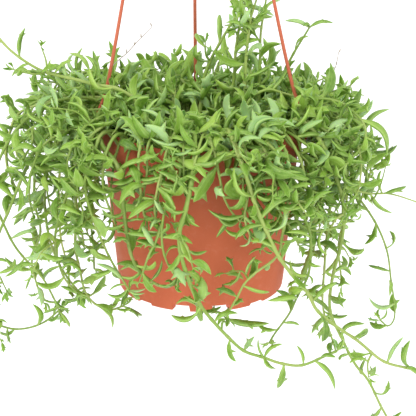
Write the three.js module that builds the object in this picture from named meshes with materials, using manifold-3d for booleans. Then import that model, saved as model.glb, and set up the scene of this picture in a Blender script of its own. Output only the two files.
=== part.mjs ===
// A string of dolphins (a trailing succulent) in a plastic hanging pot.
// Millimetres, +Z up. The origin is the seat of the hook: the point of its inner top where
// the rail or bracket bears. Inside the hanging group, heights count up from the pot's foot.
import * as THREE from "three";
import { mergeVertices } from "three/addons/utils/BufferGeometryUtils.js";
import Module from "manifold-3d";

const wasm = await Module();
wasm.setup();

// Driving dimensions.
const gap = 0.3; // between pieces that touch
const potHeight = 130;
const rimRadius = 75;
const footRadius = 61;
const wallThickness = 1.6;
const collarHeight = 21;
const collarStep = 4; // the lower band of the collar stands back a little
const collarProud = 3;
const floorHeight = 5;
const footRing = 8; // width of the ring the pot stands on
const notchWidth = 13;
const deepNotch = 4.5;
const shallowNotch = 1.6;
const deepNotchTurn = 14; // degrees to either side of the front and of the back
const shallowNotchTurn = 43;
const drainHoleCount = 8;
const drainHoleRadius = 4;
const soilLevel = 112;
const soilCrown = 3;
const hangerHeight = 385; // from the rim to the hub where the arms meet
const hubOffset = -6; // the hub hangs over the centre of mass, a little left of the pot's axis
const hubRadius = 8;
const hubHeight = 9;
const hookRadius = 16; // of the middle of the bar
const hookBar = 2.4; // radius of the bar
const hookStart = -62; // degrees round the hook's middle, +X is 0
const hookEnd = 215;
const shankLength = 26;
const armRadius = 1.5;
const armAzimuths = { left: 190, back: 93, right: 350 };
const stemRadius = 1.1;
const stemSides = 5;
const stemStep = 15;
const stemRoom = 4.4; // least distance between the middle lines of two stems
const settlingPasses = 60;
const smoothingPasses = 50;
const rimClearance = 3.2; // a stem arches over the rim rather than lying on it
const leafLength = 22;
const leafWidth = 2.5; // half of the widest part
const leafSpacing = 31;
const leafBend = 0.28; // how far the tip leans, as a share of the length
const firstLeaf = 16; // bare stem below the first leaf
const dryStalkRadius = 0.5;

const hubBase = potHeight + hangerHeight;
const hookCentre = hubBase + hubHeight + shankLength + hookRadius;
const hookSeat = hookCentre + hookRadius - hookBar;
const collarBase = potHeight - collarHeight;
const goldenAngle = THREE.MathUtils.degToRad(137.5);
const up = new THREE.Vector3(0, 0, 1);

// A repeatable number from 0 to 1 for each seed.
function chance(seed) {
  const s = Math.sin(seed * 127.1 + 11.7) * 43758.5453;
  return s - Math.floor(s);
}

function radians(degrees) {
  return THREE.MathUtils.degToRad(degrees);
}

// The pot's outer radius at a height above its foot.
function wallRadius(height) {
  if (height > collarBase) return rimRadius;
  const slope = (rimRadius - collarProud - footRadius) / collarBase;
  return footRadius + slope * Math.max(height, 0);
}

// ---- solids ----

function toSolid(geometry) {
  const bare = geometry.index ? geometry.toNonIndexed() : geometry.clone();
  bare.deleteAttribute("normal");
  bare.deleteAttribute("uv");
  const merged = mergeVertices(bare, 1e-3);
  return new wasm.Manifold(
    new wasm.Mesh({
      numProp: 3,
      vertProperties: new Float32Array(merged.attributes.position.array),
      triVerts: new Uint32Array(merged.index.array),
    }),
  );
}

function toGeometry(solid) {
  const mesh = solid.getMesh();
  const geometry = new THREE.BufferGeometry();
  geometry.setAttribute("position", new THREE.BufferAttribute(mesh.vertProperties, 3));
  geometry.setIndex(new THREE.BufferAttribute(mesh.triVerts, 1));
  return geometry.toNonIndexed();
}

// A body of revolution about +Z from [radius, height] points.
function turned(profile, segments) {
  const points = profile.map(([radius, height]) => new THREE.Vector2(radius, height));
  return new THREE.LatheGeometry(points, segments).rotateX(Math.PI / 2);
}

// A round bar of constant radius along a curve.
function bar(curve, radius, sides, steps) {
  const section = new THREE.Shape();
  for (let i = 0; i < sides; i++) {
    const angle = (2 * Math.PI * i) / sides;
    const point = [radius * Math.cos(angle), radius * Math.sin(angle)];
    if (i === 0) section.moveTo(...point);
    else section.lineTo(...point);
  }
  section.closePath();
  return new THREE.ExtrudeGeometry(section, { steps, extrudePath: curve, curveSegments: 1 });
}

// ---- materials ----

const terracottaPlastic = { color: 0xcd6a4c, roughness: 0.5, metalness: 0 };
const soilFinish = { color: 0x3d2c20, roughness: 1, metalness: 0 };
const plantFinish = { color: 0x6f9f3c, roughness: 0.45, metalness: 0 };
const dryFinish = { color: 0x9a8f86, roughness: 0.9, metalness: 0 };

const hanging = new THREE.Group();
hanging.position.set(-hubOffset, 0, -hookSeat);

function addPiece(name, geometry, finish) {
  const mesh = new THREE.Mesh(geometry, new THREE.MeshStandardMaterial(finish));
  mesh.name = name;
  hanging.add(mesh);
}

// ---- pot: tapered wall, stepped collar, floor with drain holes, castellated foot ----

function potGeometry() {
  const collarInner = rimRadius - wallThickness - 0.4;
  let pot = toSolid(
    turned(
      [
        [0, floorHeight],
        [footRadius - footRing + 0.5, floorHeight],
        [footRadius - footRing, 0],
        [footRadius, 0],
        [wallRadius(collarBase), collarBase],
        [rimRadius - 0.8, collarBase],
        [rimRadius - 0.8, collarBase + collarStep],
        [rimRadius, collarBase + collarStep + 1],
        [rimRadius, potHeight - 1],
        [rimRadius - 0.6, potHeight],
        [collarInner + 0.5, potHeight],
        [collarInner, potHeight - 1],
        [collarInner, collarBase + 2.5],
        [wallRadius(collarBase) - wallThickness, collarBase],
        [wallRadius(floorHeight) - wallThickness, floorHeight + wallThickness],
        [0, floorHeight + wallThickness],
      ],
      48,
    ),
  );
  for (const middle of [-90, 90]) {
    for (const side of [-1, 1]) {
      for (const [turn, depth] of [[deepNotchTurn, deepNotch], [shallowNotchTurn, shallowNotch]]) {
        const notch = new THREE.BoxGeometry(3 * footRing, notchWidth, 2 * depth)
          .translate(footRadius, 0, 0)
          .rotateZ(radians(middle + side * turn));
        pot = pot.subtract(toSolid(notch));
      }
    }
  }
  const drill = new THREE.CylinderGeometry(drainHoleRadius, drainHoleRadius, 12, 12)
    .rotateX(Math.PI / 2)
    .translate(0.65 * footRadius, 0, floorHeight);
  for (let i = 0; i < drainHoleCount; i++) {
    pot = pot.subtract(toSolid(drill.clone().rotateZ((2 * Math.PI * i) / drainHoleCount)));
  }
  return toGeometry(pot);
}

// ---- potting mix: fills the pot to below the collar's top, with a low crown ----

function pottingMixGeometry() {
  const base = floorHeight + wallThickness + gap;
  const play = wallThickness + 2 * gap;
  return turned(
    [
      [0, base],
      [wallRadius(floorHeight) - play, base],
      [wallRadius(collarBase) - play, collarBase - 1],
      [wallRadius(collarBase) - play, soilLevel - 2],
      [0.6 * footRadius, soilLevel],
      [0, soilLevel + soilCrown],
    ],
    32,
  );
}

// ---- hanger: a hook on a hub, and three thin arms that end in a foot over the rim ----

// An arc of the hook in the XZ plane; angles in degrees from +X.
class HookArc extends THREE.Curve {
  getPoint(t) {
    const angle = radians(hookStart + (hookEnd - hookStart) * t);
    return new THREE.Vector3(
      hubOffset + hookRadius * Math.cos(angle),
      0,
      hookCentre + hookRadius * Math.sin(angle),
    );
  }
}

function hookGeometry() {
  const arc = new HookArc();
  const points = [
    new THREE.Vector3(hubOffset, 0, hubBase + hubHeight - 2),
    new THREE.Vector3(hubOffset, 0, hubBase + hubHeight + 6),
    new THREE.Vector3(hubOffset, 0, hubBase + hubHeight + 14),
    new THREE.Vector3(hubOffset + 2, 0, hubBase + hubHeight + 20),
  ];
  for (let i = 0; i <= 12; i++) points.push(arc.getPoint(i / 12));
  const bend = bar(new THREE.CatmullRomCurve3(points, false, "centripetal"), hookBar, 8, 30);
  const hub = turned(
    [
      [0, hubBase],
      [hubRadius, hubBase],
      [hubRadius, hubBase + 4],
      [hookBar + 1, hubBase + hubHeight],
      [0, hubBase + hubHeight],
    ],
    16,
  ).translate(hubOffset, 0, 0);
  return toGeometry(toSolid(hub).add(toSolid(bend)));
}

// The middle line of an arm: straight from under the hub, bending out to the rim at its end.
function armPoints(azimuth) {
  const outward = [Math.cos(radians(azimuth)), Math.sin(radians(azimuth))];
  const top = [hubOffset + 0.6 * hubRadius * outward[0], 0.6 * hubRadius * outward[1]];
  const foot = rimRadius + armRadius + 2 * gap;
  const at = (share, height) =>
    new THREE.Vector3(
      top[0] + (foot * outward[0] - top[0]) * share,
      top[1] + (foot * outward[1] - top[1]) * share,
      height,
    );
  const topHeight = hubBase - gap;
  const rise = topHeight - potHeight;
  return [
    at(0, topHeight),
    at(0.23, topHeight - 0.25 * rise),
    at(0.46, topHeight - 0.5 * rise),
    at(0.69, topHeight - 0.75 * rise),
    at(0.88, potHeight + 0.075 * rise),
    at(0.98, potHeight + 9),
    at(1, potHeight - 2),
    at(1, potHeight - 12),
  ];
}

// The foot is a flared pad outside the collar with a lug that hooks over the rim.
function armGeometry(azimuth) {
  const curve = new THREE.CatmullRomCurve3(armPoints(azimuth), false, "centripetal");
  const arm = toSolid(bar(curve, armRadius, 6, 24));
  const padThickness = 2 * armRadius;
  const pad = new THREE.BoxGeometry(padThickness, 9, 12)
    .translate(rimRadius + 2 * gap + armRadius, 0, potHeight - 8);
  const bridge = new THREE.BoxGeometry(9, 6, 2)
    .translate(rimRadius - 1.2, 0, potHeight + 1 + gap);
  const tongue = new THREE.BoxGeometry(2, 6, 8)
    .translate(rimRadius - 4.7, 0, potHeight - 2 + gap);
  return toGeometry(
    [pad, bridge, tongue].reduce(
      (solid, piece) => solid.add(toSolid(piece.rotateZ(radians(azimuth)))),
      arm,
    ),
  );
}

// ---- plant: trailing strands and upright shoots rooted in the mix ----

// The long strands, each from its root over the rim to its tip, by hand: [x, y, height].
const trailingStrands = {
  strand_upper_left: [[-30, -20, 113], [-44, -28, 146], [-60, -31, 162], [-78, -31, 166],
    [-99, -29, 172], [-121, -28, 179], [-140, -27, 194], [-156, -26, 212]],
  strand_left_arch: [[-45, 0, 113], [-75, -5, 144], [-105, -15, 148], [-125, -20, 140],
    [-141, -25, 120], [-149, -30, 95], [-149, -30, 75], [-142, -32, 50], [-131, -33, 32],
    [-116, -35, 14], [-108, -36, 0], [-103, -36, -14]],
  strand_left_loop: [[-50, -16, 113], [-80, -26, 140], [-112, -36, 125], [-135, -42, 90],
    [-150, -45, 50], [-158, -45, 15], [-154, -42, -12], [-143, -40, -21], [-131, -38, -22],
    [-117, -36, -17], [-104, -34, -8]],
  strand_left_inner: [[-48, -30, 113], [-72, -42, 136], [-87, -49, 112], [-90, -51, 80],
    [-90, -51, 42], [-87, -49, 16], [-79, -47, 0], [-68, -46, -5], [-57, -46, -1]],
  strand_left_middle: [[-54, -18, 113], [-84, -29, 140], [-105, -32, 120], [-113, -33, 90],
    [-113, -33, 60], [-109, -33, 38], [-100, -33, 18], [-90, -33, 4]],
  strand_left_front: [[-40, -38, 113], [-64, -52, 138], [-84, -62, 120], [-98, -66, 90],
    [-104, -68, 60], [-100, -68, 34], [-88, -66, 14]],
  strand_left_back: [[-55, 14, 113], [-88, 22, 140], [-112, 28, 122], [-122, 30, 92],
    [-126, 30, 60], [-122, 30, 28], [-128, 30, 0], [-120, 30, -30]],
  strand_front_left: [[-56, -24, 113], [-72, -34, 144], [-74, -48, 138], [-69, -63, 129],
    [-59, -76, 121], [-56, -84, 107], [-56, -87, 90], [-53, -87, 64], [-45, -86, 45],
    [-36, -85, 34], [-26, -85, 29], [-17, -85, 31]],
  strand_front_short: [[-28, -40, 113], [-20, -64, 137], [-14, -85, 130], [-17, -92, 112],
    [-24, -94, 97], [-28, -95, 77], [-26, -95, 60], [-20, -94, 45], [-10, -92, 38]],
  strand_front_long: [[-8, -44, 113], [-4, -66, 140], [-4, -82, 137], [-6, -90, 123],
    [-8, -95, 112], [-11, -99, 99], [-15, -102, 80], [-13, -103, 60], [-7, -103, 40],
    [-1, -103, 25], [6, -102, 14], [18, -102, 0], [30, -101, -12], [45, -101, -18],
    [59, -100, -24], [76, -99, -26], [99, -98, -15]],
  strand_front_right: [[8, -46, 113], [18, -66, 140], [26, -82, 134], [33, -93, 116],
    [39, -99, 100], [46, -103, 82], [56, -104, 61], [66, -103, 45], [77, -102, 32],
    [85, -100, 16], [108, -98, -2], [133, -97, -23], [158, -96, -32], [173, -96, -36]],
  strand_front_curl: [[30, -42, 113], [44, -68, 137], [57, -86, 120], [61, -92, 92],
    [58, -94, 66], [52, -94, 55], [41, -94, 46], [30, -93, 34], [24, -92, 22], [18, -92, 8]],
  strand_front_sweep: [[42, -38, 113], [56, -62, 132], [66, -80, 110], [68, -84, 84],
    [80, -82, 73], [94, -78, 73], [108, -74, 78]],
  strand_right_thick: [[50, -14, 113], [68, -22, 142], [85, -28, 128], [89, -31, 95],
    [85, -32, 70], [80, -32, 37], [75, -31, 14]],
  strand_right_straight: [[56, 2, 113], [80, 0, 142], [96, -4, 118], [99, -7, 85],
    [95, -9, 57], [92, -11, 20], [91, -11, -16], [99, -12, -44]],
  strand_right_long: [[46, -26, 113], [70, -40, 142], [92, -48, 120], [102, -52, 80],
    [100, -53, 45], [96, -53, 4], [104, -53, -25], [113, -52, -45], [122, -52, -58],
    [138, -51, -87], [145, -51, -101]],
  strand_right_low: [[20, -52, 113], [38, -76, 134], [62, -93, 106], [78, -93, 75],
    [77, -92, 45], [68, -90, 20], [59, -88, 2], [50, -86, -14]],
  strand_far_right: [[62, -6, 113], [86, -13, 142], [99, -20, 124], [104, -26, 106],
    [112, -29, 86], [122, -30, 70], [130, -31, 55], [136, -31, 36], [140, -31, 12],
    [143, -31, -4], [144, -31, -17], [140, -31, -23], [134, -31, -18]],
  strand_right_tip: [[50, -19, 113], [80, -32, 137], [98, -38, 116], [109, -40, 90],
    [122, -40, 84], [137, -38, 84], [152, -36, 80], [174, -34, 72]],
  strand_right_arch: [[28, -20, 114], [32, -18, 146], [46, -16, 157], [62, -14, 153],
    [82, -11, 147], [96, -9, 152], [110, -8, 157]],
  strand_right_back: [[54, 22, 113], [84, 32, 140], [108, 40, 118], [114, 42, 84],
    [110, 42, 48], [104, 42, 12], [108, 42, -22]],
  shoot_tall_left: [[-2, 20, 115], [0, 20, 140], [6, 20, 165], [18, 20, 188], [30, 20, 208],
    [38, 20, 222]],
  shoot_tall_middle: [[16, 12, 115], [24, 10, 150], [26, 9, 180], [29, 7, 204], [33, 5, 220]],
  shoot_tall_right: [[30, -4, 114], [32, -2, 147], [35, 0, 196], [41, 0, 224]],
  shoot_pale: [[39, 6, 114], [43, 6, 146], [44, 8, 190], [47, 12, 216]],
  shoot_right: [[46, 22, 113], [59, 22, 145], [68, 21, 168], [79, 20, 193]],
};

const backStrandCount = 12;
const crownShootCount = 14;

// A point at an azimuth in radians, a distance from the pot's axis and a height.
function polar(azimuth, radius, height) {
  return [radius * Math.cos(azimuth), radius * Math.sin(azimuth), height];
}

// Strands at the back: up out of the mix, over the rim and down behind the pot.
function backStrand(index) {
  const azimuth = radians(24 + (132 * index) / (backStrandCount - 1));
  const crest = 127;
  const reach = 90 + 30 * chance(index + 1);
  const drop = 60 + 90 * chance(index + 40);
  const sway = 0.25 * (chance(index + 80) - 0.5);
  return [
    polar(azimuth, 40, soilLevel + 1),
    polar(azimuth, 64, crest + 8),
    polar(azimuth, 0.94 * reach, crest),
    polar(azimuth + 0.3 * sway, reach + 4, crest - 0.3 * drop),
    polar(azimuth + 0.7 * sway, reach + 4, crest - 0.7 * drop),
    polar(azimuth + sway, reach - 2, crest - drop),
  ];
}

// Short shoots that fill the crown, spread over the mix like seeds in a sunflower.
function crownShoot(index) {
  const azimuth = goldenAngle * (index + 0.5);
  const root = 58 * Math.sqrt((index + 0.5) / crownShootCount);
  const lean = 14 + 20 * chance(index + 120);
  const rise = 16 + 16 * chance(index + 160);
  return [
    polar(azimuth, root, soilLevel + 3),
    polar(azimuth, root + 0.25 * lean, soilLevel + 0.5 * rise),
    polar(azimuth, root + lean, soilLevel + rise),
  ];
}

// Thin dry flower stalks that stand out of the crown.
const dryStalks = {
  dry_stalk_left: [[-60, 30, 113], [-70, 30, 150], [-53, 32, 171], [-36, 34, 189]],
  dry_stalk_right: [[62, 24, 113], [80, 20, 138], [93, 17, 150], [99, 15, 164], [101, 14, 175]],
};

const otherStrands = {};
for (let i = 0; i < backStrandCount; i++) {
  otherStrands["strand_back_" + (i + 1)] = backStrand(i);
}
for (let i = 0; i < crownShootCount; i++) {
  otherStrands["crown_shoot_" + (i + 1)] = crownShoot(i);
}

// Keeps a stem's point clear of the pot's wall: over the rim or outside the wall.
function clearPot(point, room) {
  const radius = Math.hypot(point.x, point.y);
  const inner = rimRadius - 2 - room;
  const outer = wallRadius(point.z) + room;
  if (point.z > potHeight + room || radius < inner || radius > outer) return;
  if (point.z > collarBase + 6 && radius < rimRadius) {
    point.z = potHeight + room;
    return;
  }
  point.multiply(new THREE.Vector3(outer / radius, outer / radius, 1));
}

// Stems lie beside each other: each point moves off the points of the stems already laid.
const laidPoints = [];

function layStem(points) {
  const route = new THREE.CatmullRomCurve3(
    points.map((p) => new THREE.Vector3(...p)),
    false,
    "centripetal",
  );
  const line = route.getSpacedPoints(Math.ceil(route.getLength() / 4));
  for (let pass = 0; pass < settlingPasses; pass++) {
    line.forEach((point, i) => {
      const height = point.z;
      for (const other of laidPoints) {
        const distance = point.distanceTo(other);
        if (distance >= stemRoom || distance === 0) continue;
        const push = (0.5 * (stemRoom - distance)) / distance;
        point.addScaledVector(point.clone().sub(other), push);
      }
      clearPot(point, stemRadius + rimClearance);
      const overMix = Math.hypot(point.x, point.y) < rimRadius && height > collarBase;
      if (i === 0) point.z = height;
      else if (overMix) point.z = Math.max(point.z, soilLevel + soilCrown + 2);
      if (i > 0 && i < line.length - 1 && pass < smoothingPasses) {
        const middle = line[i - 1].clone().add(line[i + 1]).multiplyScalar(0.5);
        point.lerp(middle, 0.15);
      }
    });
  }
  laidPoints.push(...line);
  return new THREE.CatmullRomCurve3(line, false, "centripetal");
}

// A plain leaf along +Z that bends towards +X: a thin stalk, a full middle and a pointed tip.
function leafBlank(scale) {
  const length = leafLength * scale;
  const leaf = turned(
    [
      [0, 0],
      [0.8, 0.12 * length],
      [leafWidth * scale, 0.5 * length],
      [0, length],
    ],
    3,
  );
  const position = leaf.attributes.position;
  for (let i = 0; i < position.count; i++) {
    const share = position.getZ(i) / length;
    position.setX(i, position.getX(i) * 0.75 + leafBend * length * share * share);
  }
  return leaf;
}

// The balls that stand for a leaf when its room is tested.
function leafBalls(matrix, scale) {
  return [0.15, 0.3, 0.45, 0.6, 0.75, 0.88, 1].map((share) => {
    const length = leafLength * scale;
    const centre = new THREE.Vector3(leafBend * length * share * share, 0, length * share);
    const radius = share < 0.9 ? leafWidth * scale : 0.6;
    return { centre: centre.applyMatrix4(matrix), radius };
  });
}

const leafRoom = []; // the balls of every leaf placed so far

function ballIsFree(ball, ownLine) {
  const { centre, radius } = ball;
  const fromAxis = Math.hypot(centre.x, centre.y);
  const outside = fromAxis > wallRadius(centre.z) + radius + 0.6;
  const above = centre.z > potHeight + radius + 0.6;
  const inside = fromAxis < rimRadius - 3 - radius && centre.z > soilLevel + soilCrown + radius;
  if (!(outside || above || inside)) return false;
  const fromStem = radius + stemRadius + 1.6;
  for (const point of laidPoints) {
    if (!ownLine.has(point) && point.distanceTo(centre) < fromStem) return false;
  }
  return leafRoom.every((other) => other.centre.distanceTo(centre) > radius + other.radius + 0.5);
}

// Leaves sit alternately round the stem and lift from it; one with no room is left off.
function strandGeometry(curve, seed, radius, withLeaves) {
  const length = curve.getLength();
  const ownLine = new Set(curve.points);
  const steps = Math.max(4, Math.round(length / stemStep));
  let solid = toSolid(bar(curve, radius, stemSides, steps));
  const count = withLeaves ? Math.ceil((0.97 * length - firstLeaf) / leafSpacing) : 0;
  for (let i = 0; i < count; i++) {
    const share = (firstLeaf + i * leafSpacing) / length;
    const at = curve.getPointAt(share);
    const along = curve.getTangentAt(share);
    const reference = Math.abs(along.z) > 0.9 ? new THREE.Vector3(1, 0, 0) : up;
    const side = new THREE.Vector3().crossVectors(along, reference).normalize();
    for (let attempt = 0; attempt < 6; attempt++) {
      const turn = goldenAngle * (i + attempt * 0.37) + 6 * chance(seed);
      const outward = side.clone().applyAxisAngle(along, turn);
      const direction = outward.clone().addScaledVector(along, 0.6).addScaledVector(up, 0.45);
      direction.normalize();
      const bendTo = up.clone().addScaledVector(along, 0.5);
      bendTo.addScaledVector(direction, -bendTo.dot(direction)).normalize();
      const across = new THREE.Vector3().crossVectors(direction, bendTo);
      const matrix = new THREE.Matrix4().makeBasis(bendTo, across, direction).setPosition(at);
      const scale = 0.8 + 0.35 * chance(seed * 31 + i);
      const balls = leafBalls(matrix, scale);
      if (!balls.every((ball) => ballIsFree(ball, ownLine))) continue;
      leafRoom.push(...balls);
      solid = solid.add(toSolid(leafBlank(scale).applyMatrix4(matrix)));
      break;
    }
  }
  const bodies = solid.decompose().sort((a, b) => b.volume() - a.volume());
  return toGeometry(bodies[0]);
}

// ---- assembly ----

addPiece("pot", potGeometry(), terracottaPlastic);
addPiece("potting_mix", pottingMixGeometry(), soilFinish);
addPiece("hanger_hook", hookGeometry(), terracottaPlastic);
for (const [side, azimuth] of Object.entries(armAzimuths)) {
  addPiece("hanger_arm_" + side, armGeometry(azimuth), terracottaPlastic);
  const line = new THREE.CatmullRomCurve3(armPoints(azimuth), false, "centripetal");
  laidPoints.push(...line.getSpacedPoints(140));
}

const stems = new Map();
for (const [name, points] of Object.entries({ ...trailingStrands, ...otherStrands, ...dryStalks })) {
  stems.set(name, layStem(points));
}
let seed = 1;
for (const [name, curve] of stems) {
  const dry = name in dryStalks;
  const geometry = strandGeometry(curve, seed, dry ? dryStalkRadius : stemRadius, !dry);
  addPiece(name, geometry, dry ? dryFinish : plantFinish);
  seed += 1;
}

const part = new THREE.Group();
part.add(hanging);
export default part;
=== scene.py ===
"""Looks of a potted string of dolphins: a trailing succulent in a plastic hanging pot."""

import math

import bpy
import numpy as np
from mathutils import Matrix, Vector


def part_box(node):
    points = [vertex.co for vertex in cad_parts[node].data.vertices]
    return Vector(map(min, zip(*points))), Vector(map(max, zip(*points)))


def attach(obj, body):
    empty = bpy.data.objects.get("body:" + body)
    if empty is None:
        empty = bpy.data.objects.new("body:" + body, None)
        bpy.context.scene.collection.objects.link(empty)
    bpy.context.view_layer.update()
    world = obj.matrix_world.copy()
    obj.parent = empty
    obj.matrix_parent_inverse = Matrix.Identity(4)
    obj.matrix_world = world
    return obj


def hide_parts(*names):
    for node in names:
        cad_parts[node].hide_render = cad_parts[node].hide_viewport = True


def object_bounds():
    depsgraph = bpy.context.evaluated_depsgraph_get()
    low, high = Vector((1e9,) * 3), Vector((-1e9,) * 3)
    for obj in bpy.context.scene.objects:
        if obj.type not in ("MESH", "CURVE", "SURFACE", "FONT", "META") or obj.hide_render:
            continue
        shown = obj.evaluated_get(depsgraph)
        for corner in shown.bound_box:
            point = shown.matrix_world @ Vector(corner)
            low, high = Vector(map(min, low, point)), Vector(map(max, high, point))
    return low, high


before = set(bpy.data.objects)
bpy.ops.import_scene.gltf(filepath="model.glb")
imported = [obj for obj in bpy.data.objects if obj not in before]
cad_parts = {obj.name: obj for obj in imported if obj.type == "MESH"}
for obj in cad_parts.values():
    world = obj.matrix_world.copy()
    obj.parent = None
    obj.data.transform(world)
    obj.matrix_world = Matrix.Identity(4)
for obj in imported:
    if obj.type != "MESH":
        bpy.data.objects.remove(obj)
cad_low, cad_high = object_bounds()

# ---------------------------------------------------------------------------------------
# Places and sizes, in metres. Heights of the plant and pot count up from the pot's foot.

MM = 0.001
pot_low, pot_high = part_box("pot")
FOOT = Vector(((pot_low.x + pot_high.x) / 2, (pot_low.y + pot_high.y) / 2, pot_low.z))
FOOT_POINT = np.array(FOOT)
POT_HEIGHT = pot_high.z - pot_low.z
RIM_RADIUS = (pot_high.x - pot_low.x) / 2
FOOT_RADIUS = 61 * MM
WALL = 1.6 * MM
COLLAR_HEIGHT = 21 * MM
COLLAR_STEP = 4 * MM
COLLAR_PROUD = 3 * MM
COLLAR_BASE = POT_HEIGHT - COLLAR_HEIGHT
FLOOR_HEIGHT = 5 * MM
FOOT_RING = 8 * MM
DRAIN_HOLES = 8
DRAIN_HOLE_RADIUS = 4 * MM
DRAIN_CIRCLE = 0.65 * FOOT_RADIUS
SOIL_CROWN = 3 * MM  # from the level of the soil up to the top of the CAD's dome of mix
SOIL_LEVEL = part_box("potting_mix")[1].z - SOIL_CROWN - FOOT.z
ARM_AZIMUTHS = {"left": 190, "back": 93, "right": 350}  # degrees
UP = np.array([0.0, 0.0, 1.0])
GOLDEN_ANGLE = math.radians(137.5)


def wall_radius(height):
    """The pot's outer radius at a height above its foot."""
    if height > COLLAR_BASE:
        return RIM_RADIUS
    slope = (RIM_RADIUS - COLLAR_PROUD - FOOT_RADIUS) / COLLAR_BASE
    return FOOT_RADIUS + slope * max(height, 0)


def unit(vector):
    return vector / max(np.linalg.norm(vector), 1e-12)


def smoothstep(low, high, value):
    share = np.clip((value - low) / (high - low), 0, 1)
    return share * share * (3 - 2 * share)


def polar(azimuth, radius, height):
    """A point by its direction round the axis, its distance from the axis and its height."""
    return (radius * math.cos(azimuth), radius * math.sin(azimuth), height)


# ---------------------------------------------------------------------------------------
# Camera: the pot seen a little from above through a long lens.

CAMERA_ELEVATION = math.radians(21)
CAMERA_DISTANCE = 2.4
VIEW_WIDTH = 0.309
VIEW_CENTRE = FOOT + Vector((0.0052, 0, 0.0585))


def make_camera():
    data = bpy.data.cameras.new("camera")
    data.sensor_width = 36
    data.lens = data.sensor_width * CAMERA_DISTANCE / VIEW_WIDTH
    data.clip_end = 50
    camera = bpy.data.objects.new("camera", data)
    back = Vector((0, -math.cos(CAMERA_ELEVATION), math.sin(CAMERA_ELEVATION)))
    camera.location = VIEW_CENTRE + back * CAMERA_DISTANCE
    camera.rotation_euler = (-back).to_track_quat("-Z", "Y").to_euler()
    bpy.context.scene.collection.objects.link(camera)
    bpy.context.scene.camera = camera


make_camera()


# ---------------------------------------------------------------------------------------
# Meshes


class Geometry:
    """Points and faces that grow part by part and then become one mesh."""

    def __init__(self):
        self.points = []
        self.faces = []
        self.slots = []
        self.values = {}
        self.count = 0

    def add(self, points, faces, slot=0, **values):
        """Adds points (n, 3) and faces (lists of indices, or an array), with one value a point."""
        self.points.append(points)
        for name, value in values.items():
            column = np.broadcast_to(np.asarray(value, float), (len(points),))
            self.values.setdefault(name, []).append((self.count, column))
        for block in faces:
            block = np.asarray(block) + self.count
            self.faces.extend(block.tolist())
            self.slots.extend([slot] * len(block))
        self.count += len(points)

    def piece(self, name, materials, smooth=True):
        mesh = bpy.data.meshes.new(name)
        points = np.concatenate(self.points)
        mesh.from_pydata(points.tolist(), [], self.faces)
        for material in materials:
            mesh.materials.append(material)
        mesh.polygons.foreach_set("material_index", self.slots)
        mesh.polygons.foreach_set("use_smooth", [smooth] * len(self.faces))
        for value_name, blocks in self.values.items():
            column = np.zeros(len(points), np.float32)
            for start, block in blocks:
                column[start : start + len(block)] = block
            attribute = mesh.attributes.new(value_name, "FLOAT", "POINT")
            attribute.data.foreach_set("value", column)
        mesh.update()
        piece = bpy.data.objects.new(name, mesh)
        bpy.context.scene.collection.objects.link(piece)
        return piece


def circle(radius, height, sides):
    """A level ring of points round the axis; the radius may differ from point to point."""
    turn = np.arange(sides) * 2 * math.pi / sides
    return np.stack([np.cos(turn) * radius, np.sin(turn) * radius, np.full(sides, height)], axis=-1)


def end_fan(start, sides, centre, flip):
    """Triangles from a ring to the point at its centre."""
    side = np.arange(sides)
    edge = [start + (side + 1) % sides, start + side]
    if flip:
        edge.reverse()
    return np.stack([*edge, np.full(sides, centre)], axis=-1)


def closed_faces(rings, sides):
    """Faces of a closed body: rings of points in order, then its first and last middle point."""
    ring = np.arange(rings - 1)[:, None] * sides
    side = np.arange(sides)[None, :]
    after = (side + 1) % sides
    quads = np.stack([ring + side, ring + after, ring + sides + after, ring + sides + side], axis=-1)
    return [
        quads.reshape(-1, 4),
        end_fan(0, sides, rings * sides, flip=False),
        end_fan((rings - 1) * sides, sides, rings * sides + 1, flip=True),
    ]


def transport_frames(line):
    """Two directions across a line at each of its points, with no sudden twist."""
    tangents = np.gradient(line, axis=0)
    tangents /= np.linalg.norm(tangents, axis=1)[:, None]
    reference = UP if abs(tangents[0] @ UP) < 0.9 else np.array([1.0, 0, 0])
    across = unit(np.cross(tangents[0], reference))
    sides = []
    for tangent in tangents:
        across = unit(across - tangent * (across @ tangent))
        sides.append(across)
    sides = np.array(sides)
    return tangents, sides, np.cross(tangents, sides)


def add_tube(geometry, line, radii, sides, slot=0, flatness=1.0, **values):
    """A closed tube along a line; flatness squeezes it in its second direction."""
    _, first, second = transport_frames(line)
    angles = np.arange(sides) * 2 * math.pi / sides
    around = (
        first[:, None] * np.cos(angles)[None, :, None]
        + second[:, None] * np.sin(angles)[None, :, None] * flatness
    )
    points = (line[:, None] + around * np.asarray(radii)[:, None, None]).reshape(-1, 3)
    points = np.concatenate([points, line[:1], line[-1:]])
    geometry.add(points, closed_faces(len(line), sides), slot, **values)


def spline(points, spacing):
    """A smooth line through given points, with evenly spaced points of its own."""
    points = np.asarray(points, float)
    padded = np.concatenate([2 * points[:1] - points[1:2], points, 2 * points[-1:] - points[-2:-1]])
    pieces = []
    t = np.linspace(0, 1, 24, endpoint=False)[:, None]
    for a, b, c, d in zip(padded, padded[1:], padded[2:], padded[3:]):
        pieces.append(
            0.5
            * (
                2 * b
                + (c - a) * t
                + (2 * a - 5 * b + 4 * c - d) * t**2
                + (3 * b - a - 3 * c + d) * t**3
            )
        )
    dense = np.concatenate([*pieces, points[-1:]])
    steps = np.linalg.norm(np.diff(dense, axis=0), axis=1)
    along = np.concatenate([[0], np.cumsum(steps)])
    count = max(4, int(round(along[-1] / spacing)))
    wanted = np.linspace(0, along[-1], count + 1)
    return np.stack([np.interp(wanted, along, dense[:, k]) for k in range(3)], axis=-1)


# ---------------------------------------------------------------------------------------
# Materials


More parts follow.
